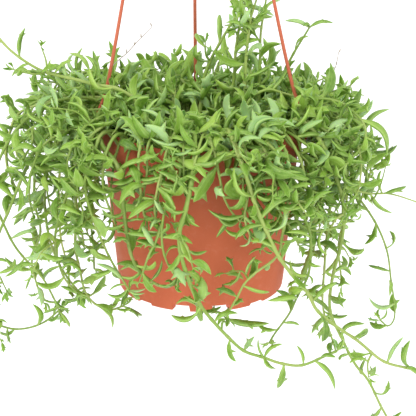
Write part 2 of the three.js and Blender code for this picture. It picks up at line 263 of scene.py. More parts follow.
class Shader:
    """A node material on the Principled shader, with short calls for the nodes used here."""

    def __init__(self, name):
        self.material = bpy.data.materials.new(name)
        self.material.use_nodes = True
        self.nodes = self.material.node_tree.nodes
        self.links = self.material.node_tree.links
        self.surface = self.nodes["Principled BSDF"]
        self.place = self.nodes.new("ShaderNodeTexCoord").outputs["Object"]

    def set(self, **values):
        """Plain values for the Principled shader's own sockets."""
        for name, value in values.items():
            self.surface.inputs[name.replace("_", " ")].default_value = value

    def plug(self, output, name):
        """Feeds one of the Principled shader's sockets."""
        self.links.new(output, self.surface.inputs[name])

    def noise(self, scale, detail=3.0, roughness=0.55, stretch=None):
        node = self.nodes.new("ShaderNodeTexNoise")
        node.inputs["Scale"].default_value = scale
        node.inputs["Detail"].default_value = detail
        node.inputs["Roughness"].default_value = roughness
        place = self.place
        if stretch:
            mapping = self.nodes.new("ShaderNodeMapping")
            mapping.inputs["Scale"].default_value = stretch
            self.links.new(place, mapping.inputs["Vector"])
            place = mapping.outputs["Vector"]
        self.links.new(place, node.inputs["Vector"])
        return node.outputs["Fac"]

    def cells(self, scale):
        node = self.nodes.new("ShaderNodeTexVoronoi")
        node.inputs["Scale"].default_value = scale
        self.links.new(self.place, node.inputs["Vector"])
        return node.outputs["Distance"]

    def value(self, name):
        node = self.nodes.new("ShaderNodeAttribute")
        node.attribute_name = name
        return node.outputs["Fac"]

    def ramp(self, fac, *stops):
        """A colour ramp: stops are (position, (r, g, b))."""
        node = self.nodes.new("ShaderNodeValToRGB")
        elements = node.color_ramp.elements
        while len(elements) < len(stops):
            elements.new(0.5)
        for element, (position, colour) in zip(elements, stops):
            element.position = position
            element.color = (*colour, 1)
        self.links.new(fac, node.inputs["Fac"])
        return node.outputs["Color"]

    def spread(self, fac, low, high, to_low, to_high):
        """Stretches the range low to high of a value to another range."""
        node = self.nodes.new("ShaderNodeMapRange")
        ends = {"From Min": low, "From Max": high, "To Min": to_low, "To Max": to_high}
        for name, number in ends.items():
            node.inputs[name].default_value = number
        self.links.new(fac, node.inputs["Value"])
        return node.outputs["Result"]

    def mix(self, fac, first, second):
        """Two colours mixed; its sockets have names in common, so they go by number."""
        node = self.nodes.new("ShaderNodeMix")
        node.data_type = "RGBA"
        sockets = (node.inputs[index] for index in (0, 6, 7))
        for socket, source in zip(sockets, (fac, first, second)):
            if isinstance(source, (int, float)):
                socket.default_value = source
            elif isinstance(source, tuple):
                socket.default_value = (*source, 1)
            else:
                self.links.new(source, socket)
        return node.outputs[2]

    def bump(self, height, distance, strength=1.0, under=None):
        node = self.nodes.new("ShaderNodeBump")
        node.inputs["Strength"].default_value = strength
        node.inputs["Distance"].default_value = distance
        self.links.new(height, node.inputs["Height"])
        if under is not None:
            self.links.new(under, node.inputs["Normal"])
        return node.outputs["Normal"]


def terracotta_plastic(name, base, shade):
    """Moulded plastic: an even warm colour, faintly mottled, with a fine satin grain."""
    skin = Shader(name)
    colour = skin.ramp(skin.noise(28, 4), (0.3, shade), (0.62, base))
    dust = skin.spread(skin.noise(160, 5, 0.7), 0.55, 0.8, 0, 0.12)
    skin.plug(skin.mix(dust, colour, (0.78, 0.48, 0.38)), "Base Color")
    skin.plug(skin.spread(skin.noise(75, 4), 0.3, 0.7, 0.52, 0.66), "Roughness")
    grain = skin.bump(skin.noise(2600, 2), 0.00005, 0.5)
    waves = skin.bump(skin.noise(45, 2, stretch=(1, 1, 0.3)), 0.0006, 0.25, under=grain)
    skin.plug(waves, "Normal")
    skin.set(Subsurface_Weight=0.06, Subsurface_Scale=0.002, Subsurface_Radius=(1.0, 0.35, 0.2))
    skin.set(Specular_IOR_Level=0.1)
    return skin.material


def potting_mix():
    """Dark crumbly peat with lighter fibres."""
    skin = Shader("potting_mix_crumb")
    clods = skin.noise(240, 6, 0.7)
    peat = skin.ramp(clods, (0.3, (0.012, 0.008, 0.005)), (0.7, (0.07, 0.042, 0.024)))
    fibre = skin.spread(skin.noise(500, 3, stretch=(1, 4, 1)), 0.62, 0.75, 0, 0.5)
    skin.plug(skin.mix(fibre, peat, (0.16, 0.10, 0.06)), "Base Color")
    skin.set(Roughness=0.95, Specular_IOR_Level=0.2)
    coarse = skin.bump(skin.cells(420), 0.0012, 0.8)
    skin.plug(skin.bump(skin.noise(900, 6, 0.7), 0.0006, 0.8, under=coarse), "Normal")
    return skin.material


def leaf_skin():
    """Waxy leaf: each leaf its own green, with pale edges and faint lines along it."""
    skin = Shader("leaf_skin")
    tint = skin.value("tint")
    rim = skin.value("rim")
    along = skin.value("along")
    green = skin.ramp(
        tint,
        (0.0, (0.060, 0.160, 0.010)),
        (0.35, (0.130, 0.275, 0.018)),
        (0.65, (0.215, 0.370, 0.035)),
        (0.83, (0.300, 0.450, 0.060)),
        (0.88, (0.260, 0.450, 0.170)),
        (1.0, (0.380, 0.560, 0.260)),
    )
    clouds = skin.noise(260, 4)
    green = skin.mix(skin.spread(clouds, 0.35, 0.7, 0, 0.3), green, (0.33, 0.50, 0.10))
    stalk = skin.spread(along, 0.0, 0.25, 0.7, 0)
    green = skin.mix(stalk, green, (0.36, 0.48, 0.11))
    stops = {0.0: 0.16, 0.14: 0, 0.56: 0.04, 0.70: 0.30, 0.82: 0.12, 1.0: 0.62}
    lines = skin.ramp(rim, *((place, (strength,) * 3) for place, strength in stops.items()))
    green = skin.mix(lines, green, (0.48, 0.66, 0.21))
    veins = skin.spread(skin.noise(900, 3, stretch=(1, 1, 0.2)), 0.45, 0.6, 0, 0.1)
    green = skin.mix(veins, green, (0.44, 0.60, 0.18))
    skin.plug(green, "Base Color")
    skin.plug(skin.spread(skin.noise(400, 3), 0.3, 0.7, 0.34, 0.52), "Roughness")
    soft = skin.bump(skin.noise(320, 3), 0.0005, 0.4)
    skin.plug(skin.bump(skin.noise(3200, 2), 0.00006, 0.4, under=soft), "Normal")
    skin.set(Subsurface_Weight=0.22, Subsurface_Scale=0.003, Subsurface_Radius=(0.55, 1.0, 0.15))
    skin.set(Specular_IOR_Level=0.32)
    return skin.material


def stem_skin():
    """Pale green stem, creamy in its older stretches, with fine lengthwise streaks."""
    skin = Shader("stem_skin")
    colour = skin.ramp(
        skin.value("tint"),
        (0.0, (0.150, 0.250, 0.030)),
        (0.5, (0.250, 0.380, 0.065)),
        (1.0, (0.430, 0.510, 0.150)),
    )
    age = skin.spread(skin.noise(55, 3), 0.48, 0.72, 0, 0.4)
    colour = skin.mix(age, colour, (0.50, 0.53, 0.20))
    spots = skin.spread(skin.cells(420), 0.0, 0.16, 0.3, 0)
    colour = skin.mix(spots, colour, (0.22, 0.20, 0.07))
    skin.plug(colour, "Base Color")
    skin.plug(skin.spread(skin.noise(300, 3), 0.3, 0.7, 0.4, 0.58), "Roughness")
    skin.plug(skin.bump(skin.noise(700, 4, stretch=(1, 1, 0.25)), 0.0004, 0.5), "Normal")
    skin.set(Subsurface_Weight=0.12, Subsurface_Scale=0.002, Subsurface_Radius=(0.7, 1.0, 0.3))
    return skin.material


def dry_stalk():
    """Dry grey-brown flower stalk."""
    skin = Shader("dry_stalk_skin")
    colour = skin.ramp(skin.noise(300, 5), (0.3, (0.30, 0.23, 0.17)), (0.7, (0.52, 0.45, 0.38)))
    skin.plug(colour, "Base Color")
    skin.set(Roughness=0.85)
    skin.plug(skin.bump(skin.noise(900, 5, stretch=(1, 1, 0.2)), 0.0004, 0.8), "Normal")
    return skin.material


POT_PLASTIC = terracotta_plastic("pot_plastic", (0.59, 0.148, 0.070), (0.53, 0.126, 0.058))
HANGER_PLASTIC = terracotta_plastic("hanger_plastic", (0.58, 0.160, 0.088), (0.52, 0.135, 0.072))
MIX = potting_mix()
LEAF = leaf_skin()
STEM = stem_skin()
DRY = dry_stalk()


# ---------------------------------------------------------------------------------------
# Pot


def fillet(profile, corner, radius, count=3):
    """Points that round off one corner of the profile."""
    places = (corner - 1, corner, (corner + 1) % len(profile))
    before, point, after = (np.array(profile[place]) for place in places)
    start = point + unit(before - point) * radius
    end = point + unit(after - point) * radius
    t = np.linspace(0, 1, count + 1)[:, None]
    return ((1 - t) ** 2 * start + 2 * t * (1 - t) * point + t**2 * end).tolist()


def pot_profile():
    """Radius and height of the pot's section: floor outside, foot, wall, collar, and inside."""
    inner = RIM_RADIUS - WALL - 0.4 * MM
    corners = [
        (FOOT_RADIUS - FOOT_RING, FLOOR_HEIGHT, 0.8),
        (FOOT_RADIUS - FOOT_RING, 0, 0.3),
        (FOOT_RADIUS - 0.2 * MM, 0, 1.3),
        (wall_radius(9 * MM), 9 * MM, 0),
        (wall_radius(0.5 * COLLAR_BASE), 0.5 * COLLAR_BASE, 0),
        (wall_radius(COLLAR_BASE), COLLAR_BASE, 0.5),
        (RIM_RADIUS - 0.8 * MM, COLLAR_BASE, 0.4),
        (RIM_RADIUS - 0.8 * MM, COLLAR_BASE + COLLAR_STEP, 0.3),
        (RIM_RADIUS, COLLAR_BASE + COLLAR_STEP + 0.6 * MM, 0.25),
        (RIM_RADIUS, POT_HEIGHT, 0.7),
        (inner, POT_HEIGHT, 0.5),
        (inner, COLLAR_BASE + 2.5 * MM, 0.8),
        (wall_radius(COLLAR_BASE) - WALL, COLLAR_BASE, 0.8),
        (wall_radius(FLOOR_HEIGHT) - WALL, FLOOR_HEIGHT + WALL, 1.5),
    ]
    plain = [(radius, height) for radius, height, _ in corners]
    rounded = []
    for index, (radius, height, fillet_mm) in enumerate(corners):
        rounded += fillet(plain, index, fillet_mm * MM) if fillet_mm else [[radius, height]]
    return rounded


# Notches in the foot: how far each stands beside the middle of the front or back, in
# degrees, and its depth.
NOTCHES = [(-43, 1.6 * MM), (-14, 4.5 * MM), (14, 4.5 * MM), (43, 1.6 * MM)]
NOTCH_HALF_WIDTH = 6.1
NOTCH_SLOPE = 0.35  # half the width of a notch's steep side
NOTCH_REACH = 1.6 * 4.5 * MM  # the wall is unchanged above this height
# Degrees between the pot's columns of points, and closer together this near to a notch.
COLUMN_STEP = 4.0
FINE_STEP = 1.0
FINE_REACH = 7.5
EDGE_ROOM = 0.6


def notch_middles():
    """The azimuth and depth of each notch: the same four in the front and in the back."""
    return [(middle + turn, depth) for middle in (-90, 90) for turn, depth in NOTCHES]


def degrees_apart(first, second):
    return abs((first - second + 180) % 360 - 180)


def notch_lift(angles):
    """How far the notches raise the foot at each azimuth."""
    lift = np.zeros(len(angles))
    for middle, depth in notch_middles():
        away = degrees_apart(angles, middle)
        low, high = NOTCH_HALF_WIDTH - NOTCH_SLOPE, NOTCH_HALF_WIDTH + NOTCH_SLOPE
        lift += depth * (1 - smoothstep(low, high, away))
    return lift


def pot_columns():
    """Azimuths, in degrees, of the pot's mesh: close together at the sides of the notches."""
    angles = set(np.arange(0, 360, COLUMN_STEP))
    for middle, _ in notch_middles():
        angles = {angle for angle in angles if degrees_apart(angle, middle) > FINE_REACH + 0.5}
        angles.update(np.arange(middle - FINE_REACH, middle + FINE_REACH + 0.1, FINE_STEP) % 360)
        for side in (-1, 1):
            edge = (middle + side * NOTCH_HALF_WIDTH) % 360
            angles = {angle for angle in angles if abs(angle - edge) > EDGE_ROOM}
            angles.update([(edge - NOTCH_SLOPE) % 360, edge, (edge + NOTCH_SLOPE) % 360])
    return np.array(sorted(angles))


def make_pot():
    """The profile turned round the axis, with its lowest points raised at the notches."""
    radii, heights = np.array(pot_profile()).T
    angles = pot_columns()
    turn = np.radians(angles)
    low = 1 - smoothstep(0, NOTCH_REACH, heights)
    points = np.stack(
        [
            np.cos(turn) * radii[:, None],
            np.sin(turn) * radii[:, None],
            heights[:, None] + notch_lift(angles) * low[:, None],
        ],
        axis=-1,
    ).reshape(-1, 3)
    points = np.concatenate([points, [[0, 0, FLOOR_HEIGHT], [0, 0, FLOOR_HEIGHT + WALL]]])
    geometry = Geometry()
    geometry.add(points + FOOT_POINT, closed_faces(len(radii), len(angles)))
    pot = geometry.piece("pot_shell", [POT_PLASTIC])
    bore_drain_holes(pot)
    set_edge_shading(pot, degrees=40)
    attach(pot, "root")
    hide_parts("pot")


def bore_drain_holes(pot):
    """Round holes through the pot's floor."""
    cutter = Geometry()
    for hole in range(DRAIN_HOLES):
        turn = 2 * math.pi * hole / DRAIN_HOLES
        centre = np.array(polar(turn, DRAIN_CIRCLE, FLOOR_HEIGHT)) + FOOT_POINT
        line = centre + np.outer([-4 * MM, 5 * MM], UP)
        add_tube(cutter, line, [DRAIN_HOLE_RADIUS, DRAIN_HOLE_RADIUS], 24)
    drill = cutter.piece("drain_drill", [POT_PLASTIC])
    cut = pot.modifiers.new("drain", "BOOLEAN")
    cut.operation = "DIFFERENCE"
    cut.solver = "EXACT"
    cut.object = drill
    apply_modifiers(pot)
    bpy.data.objects.remove(drill)


def apply_modifiers(piece):
    depsgraph = bpy.context.evaluated_depsgraph_get()
    mesh = bpy.data.meshes.new_from_object(piece.evaluated_get(depsgraph))
    piece.modifiers.clear()
    piece.data = mesh


def set_edge_shading(piece, degrees):
    """Smooth faces with crisp edges where they meet at more than this angle."""
    piece.data.polygons.foreach_set("use_smooth", [True] * len(piece.data.polygons))
    piece.data.set_sharp_from_angle(angle=math.radians(degrees))


make_pot()


# ---------------------------------------------------------------------------------------
# Potting mix: a crumbly surface with loose crumbs on it

MIX_RINGS = 40
MIX_SIDES = 120
MIX_BULGE = 1.5 * MM
MIX_PLAY = 0.6 * MM  # between the mix and the inside of the pot at its floor
MIX_WAVES = 14
CRUMBS = 420
CRUMB_SIDES = 6
CRUMB_LATITUDES = (-0.6, 0.0, 0.6)


def make_mix():
    """A closed body: skirt, shoulder and a domed surface rippled by waves, under loose crumbs."""
    low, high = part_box("potting_mix")
    radius = (high.x - low.x) / 2
    bottom = low.z - FOOT.z
    rng = np.random.default_rng(11)
    turn = np.arange(MIX_SIDES) * 2 * math.pi / MIX_SIDES
    from_axis, azimuth = np.meshgrid(np.linspace(0.02, 1, MIX_RINGS) * radius, turn, indexing="ij")
    x, y = from_axis * np.cos(azimuth), from_axis * np.sin(azimuth)
    waves = zip(
        rng.uniform(0.3, 0.8, MIX_WAVES) * MM,
        rng.uniform(150, 900, MIX_WAVES),
        rng.uniform(0, 6.3, MIX_WAVES),
        rng.uniform(0, 6.3, MIX_WAVES),
    )
    bumps = sum(
        size * np.sin(x * pace * math.cos(way) + y * pace * math.sin(way) + phase)
        for size, pace, way, phase in waves
    )
    crown = SOIL_LEVEL + MIX_BULGE * (1 - (from_axis / radius) ** 2)
    fade = 1 - smoothstep(0.94, 1, from_axis / radius)
    surface = np.stack([x, y, crown + bumps * fade], axis=-1)[::-1]
    skirt = circle(wall_radius(FLOOR_HEIGHT) - WALL - MIX_PLAY, bottom, MIX_SIDES)
    shoulder = circle(radius, COLLAR_BASE - 1 * MM, MIX_SIDES)
    middles = [[0, 0, bottom], [0, 0, SOIL_LEVEL + MIX_BULGE]]
    points = np.concatenate([skirt, shoulder, surface.reshape(-1, 3), middles])
    geometry = Geometry()
    geometry.add(points + FOOT_POINT, closed_faces(MIX_RINGS + 2, MIX_SIDES))
    for _ in range(CRUMBS):
        spot = radius * math.sqrt(rng.uniform(0, 0.92))
        toward = rng.uniform(0, 2 * math.pi)
        centre = np.array(polar(toward, spot, SOIL_LEVEL + rng.uniform(0.5, 2.2) * MM))
        add_crumb(geometry, centre + FOOT_POINT, rng.uniform(0.9, 2.8) * MM, rng)
    mix = geometry.piece("potting_mix_surface", [MIX], smooth=False)
    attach(mix, "root")
    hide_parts("potting_mix")


def add_crumb(geometry, centre, size, rng):
    """A small uneven lump, turned at random."""
    rings = []
    for latitude in CRUMB_LATITUDES:
        radius = size * math.cos(latitude) * rng.uniform(0.7, 1.2, CRUMB_SIDES)
        rings.append(circle(radius, 0.84 * size * math.sin(latitude), CRUMB_SIDES))
    points = np.concatenate([*rings, [[0, 0, -0.75 * size], [0, 0, 0.75 * size]]])
    turned, _ = np.linalg.qr(rng.normal(size=(3, 3)))
    turned *= np.sign(np.linalg.det(turned))
    geometry.add(points @ turned.T + centre, closed_faces(len(CRUMB_LATITUDES), CRUMB_SIDES))


make_mix()


# ---------------------------------------------------------------------------------------
# Hanger

PAD_OUT = 2.1 * MM  # how far an arm's middle stands outside the rim
ARM_TOP_OUT = 4.8 * MM  # how far an arm's top stands from the middle of the hub
HOOK_BAR = 2.4 * MM
HOOK_RADIUS = 16 * MM
HUB_HEIGHT = 9 * MM
HUB_SIDES = 48
# The hub's radius and height at each of its rings, in millimetres.
HUB_BELL = [(7.6, 0), (8, 0.4), (8, 3.4), (7.6, 4), (6, 5), (4.4, 6.4), (3.6, 8), (3.3, 9)]


def hanger_piece(geometry, name, node):
    piece = geometry.piece(name, [HANGER_PLASTIC])
    set_edge_shading(piece, degrees=45)
    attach(piece, "root")
    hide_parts(node)


def make_arm(side, azimuth):
    """A thin moulded strap, wider towards its foot, with a pad outside the rim and a lug over it."""
    _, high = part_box("hanger_arm_" + side)
    outward = np.array(polar(math.radians(azimuth), 1, 0))
    foot = (RIM_RADIUS + PAD_OUT) * outward
    hub = np.array([-FOOT.x, 0, 0]) + ARM_TOP_OUT * outward
    rise = high.z - FOOT.z - POT_HEIGHT
    shares = [(0, 1), (0.23, 0.75), (0.46, 0.5), (0.69, 0.25), (0.88, 0.075)]
    points = [hub + (foot - hub) * out + UP * (POT_HEIGHT + up * rise) for out, up in shares]
    points.append(foot - 1.4 * MM * outward + UP * (POT_HEIGHT + 9 * MM))
    points.append(foot + UP * (POT_HEIGHT - 2 * MM))
    points.append(foot + UP * (POT_HEIGHT - 12 * MM))
    line = spline(points, 4 * MM)
    share = np.linspace(0, 1, len(line))
    radii = (1.15 + 0.75 * share + 0.9 * smoothstep(0.93, 0.99, share)) * MM
    radii[-1] *= 0.8
    geometry = Geometry()
    add_tube(geometry, line + FOOT_POINT, radii, 16, flatness=0.72)
    over = [
        foot + UP * (POT_HEIGHT + 0.3 * MM),
        (RIM_RADIUS - 1 * MM) * outward + UP * (POT_HEIGHT + 2.0 * MM),
        (RIM_RADIUS - 4 * MM) * outward + UP * (POT_HEIGHT + 1.0 * MM),
        (RIM_RADIUS - 4.6 * MM) * outward + UP * (POT_HEIGHT - 5 * MM),
    ]
    lug = spline(over, 0.8 * MM)
    add_tube(geometry, lug + FOOT_POINT, np.full(len(lug), 1.2 * MM), 12)
    hanger_piece(geometry, "hanger_strap_" + side, "hanger_arm_" + side)


def make_hook():
    """A hub like a small bell, and a hook whose bar narrows at its tip."""
    low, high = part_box("hanger_hook")
    centre = np.array([0, 0, high.z - HOOK_RADIUS - HOOK_BAR])
    neck = low.z + HUB_HEIGHT
    route = [
        (0, 0, neck - 2 * MM),
        (0, 0, neck + 6 * MM),
        (0, 0, neck + 14 * MM),
        (2 * MM, 0, neck + 20 * MM),
    ]
    for angle in np.radians(np.linspace(-62, 215, 13)):
        route.append(centre + HOOK_RADIUS * np.array([math.cos(angle), 0, math.sin(angle)]))
    line = spline(route, 1.2 * MM)
    share = np.linspace(0, 1, len(line))
    radii = HOOK_BAR * (1 - 0.35 * smoothstep(0.96, 1, share) ** 2)
    geometry = Geometry()
    add_tube(geometry, line, radii, 20)
    rings = [circle(radius * MM, low.z + height * MM, HUB_SIDES) for radius, height in HUB_BELL]
    points = np.concatenate([*rings, [[0, 0, low.z], [0, 0, neck]]])
    geometry.add(points, closed_faces(len(HUB_BELL), HUB_SIDES))
    hanger_piece(geometry, "hanger_hook_moulding", "hanger_hook")


for arm_side, arm_azimuth in ARM_AZIMUTHS.items():
    make_arm(arm_side, arm_azimuth)
make_hook()


def arm_line(azimuth):
    """Where an arm starts above the rim, and its direction up to the hub."""
    foot = np.array(polar(math.radians(azimuth), RIM_RADIUS + 2 * MM, POT_HEIGHT))
    hub = np.array([-FOOT.x, 0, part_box("hanger_hook")[0].z - FOOT.z])
    return foot, unit(hub - foot)


ARM_LINES = [arm_line(azimuth) for azimuth in ARM_AZIMUTHS.values()]


# ---------------------------------------------------------------------------------------
# Leaves. A leaf is a slender curved body on a thin stalk, with one or two small pointed
# fins and a drawn-out tip, like a leaping dolphin.

LEAF_RINGS = 20
LEAF_SIDES = 8
# Half the width and depth of a leaf, of its stalk and of its very edge, as shares of its length.
LEAF_WIDTH, LEAF_DEPTH = 0.108, 0.07
STALK_WIDTH, STALK_DEPTH = 0.03, 0.028
EDGE = 0.004


def leaf_form(bend, sway, fins, fullness=1.0, stalk=0.02):
    """A leaf one unit long that sets out along +Z. It bends towards +X, its hollow face,
    and sways towards +Y, in the plane of its broad sides. fins are (side, place, height)."""
    u = np.linspace(0, 1, LEAF_RINGS + 1)
    heading = bend * (smoothstep(0.0, 1, u) - 0.3)
    aside = sway * (smoothstep(0.1, 1, u) - 0.25)
    up, over = np.cos(heading), np.sin(heading)
    ahead = np.stack([over * np.cos(aside), np.sin(aside), up * np.cos(aside)], axis=-1)
    across = np.stack([-over * np.sin(aside), np.cos(aside), -up * np.sin(aside)], axis=-1)
    facing = np.stack([up, np.zeros_like(u), -over], axis=-1)
    steps = (ahead[:-1] + ahead[1:]) / 2
    middle = np.concatenate([np.zeros((1, 3)), np.cumsum(steps, axis=0)]) / LEAF_RINGS
    taper = 1 - np.clip((u - 0.5 - 0.5 * stalk) / (0.5 - 0.5 * stalk), 0, 1) ** 2.1
    swell = smoothstep(stalk, stalk + 0.34, u)
    width = (STALK_WIDTH + (LEAF_WIDTH * fullness - STALK_WIDTH) * swell) * taper + EDGE
    depth = (STALK_DEPTH + (LEAF_DEPTH * fullness - STALK_DEPTH) * swell) * taper + EDGE
    angle = np.arange(LEAF_SIDES) * 2 * math.pi / LEAF_SIDES
    out = width[:, None] * np.cos(angle)
    lift = depth[:, None] * np.sin(angle)
    hollow = 0.7 * depth * smoothstep(0.15, 0.45, u)
    lift -= hollow[:, None] * (np.sin(angle) > 0.1) * (1 - np.abs(np.cos(angle)))
    forward = np.zeros_like(out)
    for side, place, height in fins:
        ring = int(round(place * LEAF_RINGS))
        column = 0 if side > 0 else LEAF_SIDES // 2
        out[ring, column] += side * height
        forward[ring, column] += 0.35 * height
        out[ring - 1, column] += side * 0.32 * height
        out[ring + 1, column] += side * 0.1 * height
    points = (
        middle[:, None]
        + across[:, None] * out[..., None]
        + facing[:, None] * lift[..., None]
        + ahead[:, None] * forward[..., None]
    ).reshape(-1, 3)
    points = np.concatenate([points, middle[:1], middle[-1:] + 0.006 * ahead[-1:]])
    rim = np.broadcast_to(np.abs(np.cos(angle)), out.shape).reshape(-1)
    along = np.broadcast_to(u[:, None], out.shape).reshape(-1)
    return points, np.append(rim, [0, 1]), np.append(along, [0, 1])


LEAF_FACES = closed_faces(LEAF_RINGS + 1, LEAF_SIDES)
LEAF_FORMS = [
    leaf_form(1.0, 0.2, [(1, 0.55, 0.22), (-1, 0.65, 0.13)]),
    leaf_form(0.5, -1.2, [(-1, 0.50, 0.20)], 0.95),
    leaf_form(0.7, 0.6, [(1, 0.60, 0.24), (-1, 0.45, 0.10)], 1.1),
    leaf_form(1.2, 0.0, [(1, 0.65, 0.20), (-1, 0.60, 0.20)], 0.95),
    leaf_form(1.4, 0.5, [], 1.0),
    leaf_form(0.4, -0.8, [(-1, 0.60, 0.20)], 1.1),
    leaf_form(0.6, 1.3, [(1, 0.50, 0.18)], 0.95),
    leaf_form(0.3, 1.0, [(-1, 0.55, 0.25)], 1.0),
    leaf_form(0.5, 0.3, [(1, 0.75, 0.20), (-1, 0.70, 0.15)], 1.05),
    leaf_form(0.8, -0.4, [], 1.1),
    leaf_form(1.5, 0.4, [(1, 0.70, 0.14)], 1.1, stalk=0.2),
    leaf_form(1.8, -0.3, [(-1, 0.65, 0.18), (1, 0.75, 0.08)], 1.0, stalk=0.26),
]


def add_leaf(geometry, base, direction, bend_to, length, rng):
    """One leaf from its base, growing in a direction and curving towards another."""
    points, rim, along = LEAF_FORMS[rng.integers(len(LEAF_FORMS))]
    z = unit(direction)
    x = unit(bend_to - z * (bend_to @ z))
    y = np.cross(z, x)
    breadth = rng.uniform(0.85, 1.2) * (1.25 if rng.uniform() < 0.06 else 1)
    scaled = points * np.array([breadth, breadth, 1.0]) * length
    placed = scaled @ np.stack([x, y, z]) + base
    pale = rng.uniform() < 0.14
    tint = rng.uniform(0.85, 1) if pale else np.clip(rng.normal(0.42, 0.2), 0, 0.85)
    geometry.add(placed, LEAF_FACES, slot=1, tint=tint, rim=rim, along=along)


LEAF_ROOM = 1.5 * MM
SHOOT_ROOM = 5 * MM
ARM_ROOM = 2.5 * MM
# Gaps in the foliage: a place seen through each, in millimetres, and the gap's radius.
LEAF_GAPS = [
    ((-77, -14, 138), 8),
    ((-79, -14, 150), 7),
    ((-66, -36, 124), 12),
    ((-52, -54, 116), 9),
    ((69, -30, 122), 11),
    ((70, -28, 108), 8),
]
GAP_DIRECTION = unit(np.array([0, -0.93, 0.36]))
GAP_LENGTH = 80


def clear_of_pot(point, room=LEAF_ROOM):
    """True where a point is outside the pot's plastic, off the arms and above the mix."""
    from_axis = math.hypot(point[0], point[1])
    for foot, along in ARM_LINES:
        away = point - foot
        if np.linalg.norm(away - along * max(away @ along, 0)) < room + ARM_ROOM:
            return False
    if point[2] > POT_HEIGHT + room or point[2] < -room:
        return True
    if from_axis > wall_radius(point[2]) + room:
        return True
    return from_axis < RIM_RADIUS - 3 * MM - room and point[2] > SOIL_LEVEL + room


def before_gap(point):
    """True where a leaf would close one of the gaps that show the collar and an arm's foot."""
    for place, radius in LEAF_GAPS:
        away = point / MM - np.array(place)
        ahead = np.clip(away @ GAP_DIRECTION, 0, GAP_LENGTH)
        if np.linalg.norm(away - ahead * GAP_DIRECTION) < radius:
            return True
    return False



# ---------------------------------------------------------------------------------------
# Strands: stems with leaves set round them, closer and smaller towards the growing tip.

STEM_STEP = 2.5 * MM
STEM_RADIUS = 1.5 * MM
LEAF_LENGTHS = (17, 27)  # millimetres
LEAF_SPACINGS = (7, 12)  # millimetres


def add_strand(
    geometry, points, rng, thickness=1.0, leaf_size=1.0, density=1.0, shoots=0.0,
    taper=0.57, sparse=0.0, crowding=0.45, arching=0.45, tip_leaves=3, tip_size=0.6, leafless=False,
    placed_leaves=(),
):
    """A stem through points, measured from the pot's foot, with its leaves and side shoots.

    density is how many leaves it has, against the usual; taper is the share of its thickness
    lost towards its tip; sparse spreads the leaves out along its middle; crowding draws them
    closer at its tip, or apart below zero; arching is the share of leaves that bend down
    instead of up. placed_leaves are leaves given one by one: base and tip, in millimetres, and 1
    or -1 where it curves up or down.
    """
    line = spline(points, STEM_STEP)
    length = STEM_STEP * (len(line) - 1)
    share = np.linspace(0, 1, len(line))
    wander = sum(
        np.outer(np.sin(share * length / MM * pace + rng.uniform(0, 6.3)), rng.normal(size=3)) * size
        for pace, size in ((0.05, 0.9 * MM), (0.16, 0.35 * MM))
    )
    line = line + wander * smoothstep(0, 0.1, share)[:, None]
    radii = STEM_RADIUS * (1 - taper * share) * thickness
    tangents, first, second = transport_frames(line)
    position = rng.uniform(3, 9) * MM
    index = 0
    phase = rng.uniform(0, 2 * math.pi)
    leaves = []
    branches = []
    while position < length and not leafless:
        along = position / length
        spot = along * (len(line) - 1)
        k = min(int(spot), len(line) - 2)
        at = line[k] + (line[k + 1] - line[k]) * (spot - k)
        turn = phase + GOLDEN_ANGLE * index + rng.normal(0, 0.3)
        outward = first[k] * math.cos(turn) + second[k] * math.sin(turn)
        near_tip = smoothstep(0.85, 1.0, along)
        size = leaf_size * rng.uniform(*LEAF_LENGTHS) * MM * (1 - (1 - tip_size) * near_tip)
        leaves.append((at, tangents[k], outward, size, radii[k], near_tip))
        if 0.2 < along < 0.85 and rng.uniform() < shoots:
            branches.append((at, tangents[k], outward, radii[k]))
        radii[k] *= 1.22  # a joint, a little thicker than the stem
        spread = 1 + sparse * smoothstep(0.3, 0.6, along) * (1 - near_tip)
        position += rng.uniform(*LEAF_SPACINGS) * MM / density * (1 - crowding * near_tip) * spread
        index += 1
    tint = np.clip(rng.normal(0.45, 0.22), 0, 1)
    add_tube(geometry, line + FOOT_POINT, radii, 8, slot=0, tint=tint, rim=0, along=0)
    for at, tangent, outward, size, radius, near_tip in leaves:
        place_leaf(geometry, at, tangent, outward, size, radius, near_tip, arching, rng)
    for _ in range(tip_leaves):
        outward = unit(rng.normal(size=3))
        size = LEAF_LENGTHS[0] * MM * leaf_size * tip_size
        place_leaf(geometry, line[-1], tangents[-1], outward, size, radii[-1], 1.0, arching, rng)
    for at, tangent, outward, radius in branches:
        add_side_shoot(geometry, at, tangent, outward, radius, rng, leaf_size)
    for base, tip, curve in placed_leaves:
        base, tip = np.array(base, float) * MM, np.array(tip, float) * MM
        base = line[np.argmin(np.linalg.norm(line - base, axis=1))]
        reach = np.linalg.norm(tip - base)
        aim = tip - base - 0.2 * curve * reach * UP
        add_leaf(geometry, base + FOOT_POINT, aim, curve * UP, 1.08 * reach, rng)


def add_side_shoot(geometry, at, tangent, outward, radius, rng, leaf_size):
    """A short young shoot that leaves a strand sideways and turns to follow it."""
    reach = rng.uniform(14, 34) * MM
    direction = unit(outward + 0.5 * tangent + 0.3 * UP)
    middle = at + direction * 0.45 * reach
    tip = middle + unit(direction + 0.9 * tangent) * 0.55 * reach
    if clear_of_pot(middle, SHOOT_ROOM) and clear_of_pot(tip, SHOOT_ROOM):
        thickness = 0.6 * radius / STEM_RADIUS + 0.2
        points = np.array([at, middle, tip])
        add_strand(geometry, points, rng, thickness, leaf_size=0.85 * leaf_size, density=1.3)


